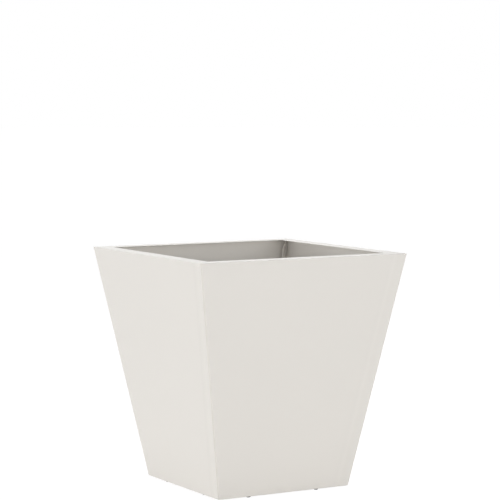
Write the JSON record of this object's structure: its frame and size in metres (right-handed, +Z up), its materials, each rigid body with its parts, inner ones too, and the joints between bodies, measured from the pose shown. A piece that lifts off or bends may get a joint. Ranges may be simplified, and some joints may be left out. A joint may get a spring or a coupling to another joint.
{
  "type": "planter",
  "caption": "Square floor planter of powder-coated sheet steel that tapers to its foot, bolted together from folded panels with an inturned rim and a drained base.",
  "frame": {"origin": "on the floor under the middle of the planter", "axes": "+Z up, -Y towards the front panel, +X towards the right panel"},
  "size_m": [0.3996, 0.3996, 0.4066],
  "materials": {
    "powder_coat": "warm white powder coat, satin, with a very fine even texture",
    "plated_steel": "steel plated with black zinc, dull"
  },
  "bodies": {
    "root": {"back_panel": "powder_coat", "base_nut_back_left": "plated_steel", "base_nut_back_right": "plated_steel", "base_nut_front_left": "plated_steel", "base_nut_front_right": "plated_steel", "base_nut_left_back": "plated_steel", "base_nut_left_front": "plated_steel", "base_nut_right_back": "plated_steel", "base_nut_right_front": "plated_steel", "base_plate": "powder_coat", "base_screw_back_left": "plated_steel", "base_screw_back_right": "plated_steel", "base_screw_front_left": "plated_steel", "base_screw_front_right": "plated_steel", "base_screw_left_back": "plated_steel", "base_screw_left_front": "plated_steel", "base_screw_right_back": "plated_steel", "base_screw_right_front": "plated_steel", "corner_nut_back_left_lower": "plated_steel", "corner_nut_back_left_middle": "plated_steel", "corner_nut_back_left_upper": "plated_steel", "corner_nut_back_right_lower": "plated_steel", "corner_nut_back_right_middle": "plated_steel", "corner_nut_back_right_upper": "plated_steel", "corner_nut_front_left_lower": "plated_steel", "corner_nut_front_left_middle": "plated_steel", "corner_nut_front_left_upper": "plated_steel", "corner_nut_front_right_lower": "plated_steel", "corner_nut_front_right_middle": "plated_steel", "corner_nut_front_right_upper": "plated_steel", "corner_screw_back_left_lower": "plated_steel", "corner_screw_back_left_middle": "plated_steel", "corner_screw_back_left_upper": "plated_steel", "corner_screw_back_right_lower": "plated_steel", "corner_screw_back_right_middle": "plated_steel", "corner_screw_back_right_upper": "plated_steel", "corner_screw_front_left_lower": "plated_steel", "corner_screw_front_left_middle": "plated_steel", "corner_screw_front_left_upper": "plated_steel", "corner_screw_front_right_lower": "plated_steel", "corner_screw_front_right_middle": "plated_steel", "corner_screw_front_right_upper": "plated_steel", "front_panel": "powder_coat", "left_panel": "powder_coat", "right_panel": "powder_coat"}
  },
  "joints": []
}
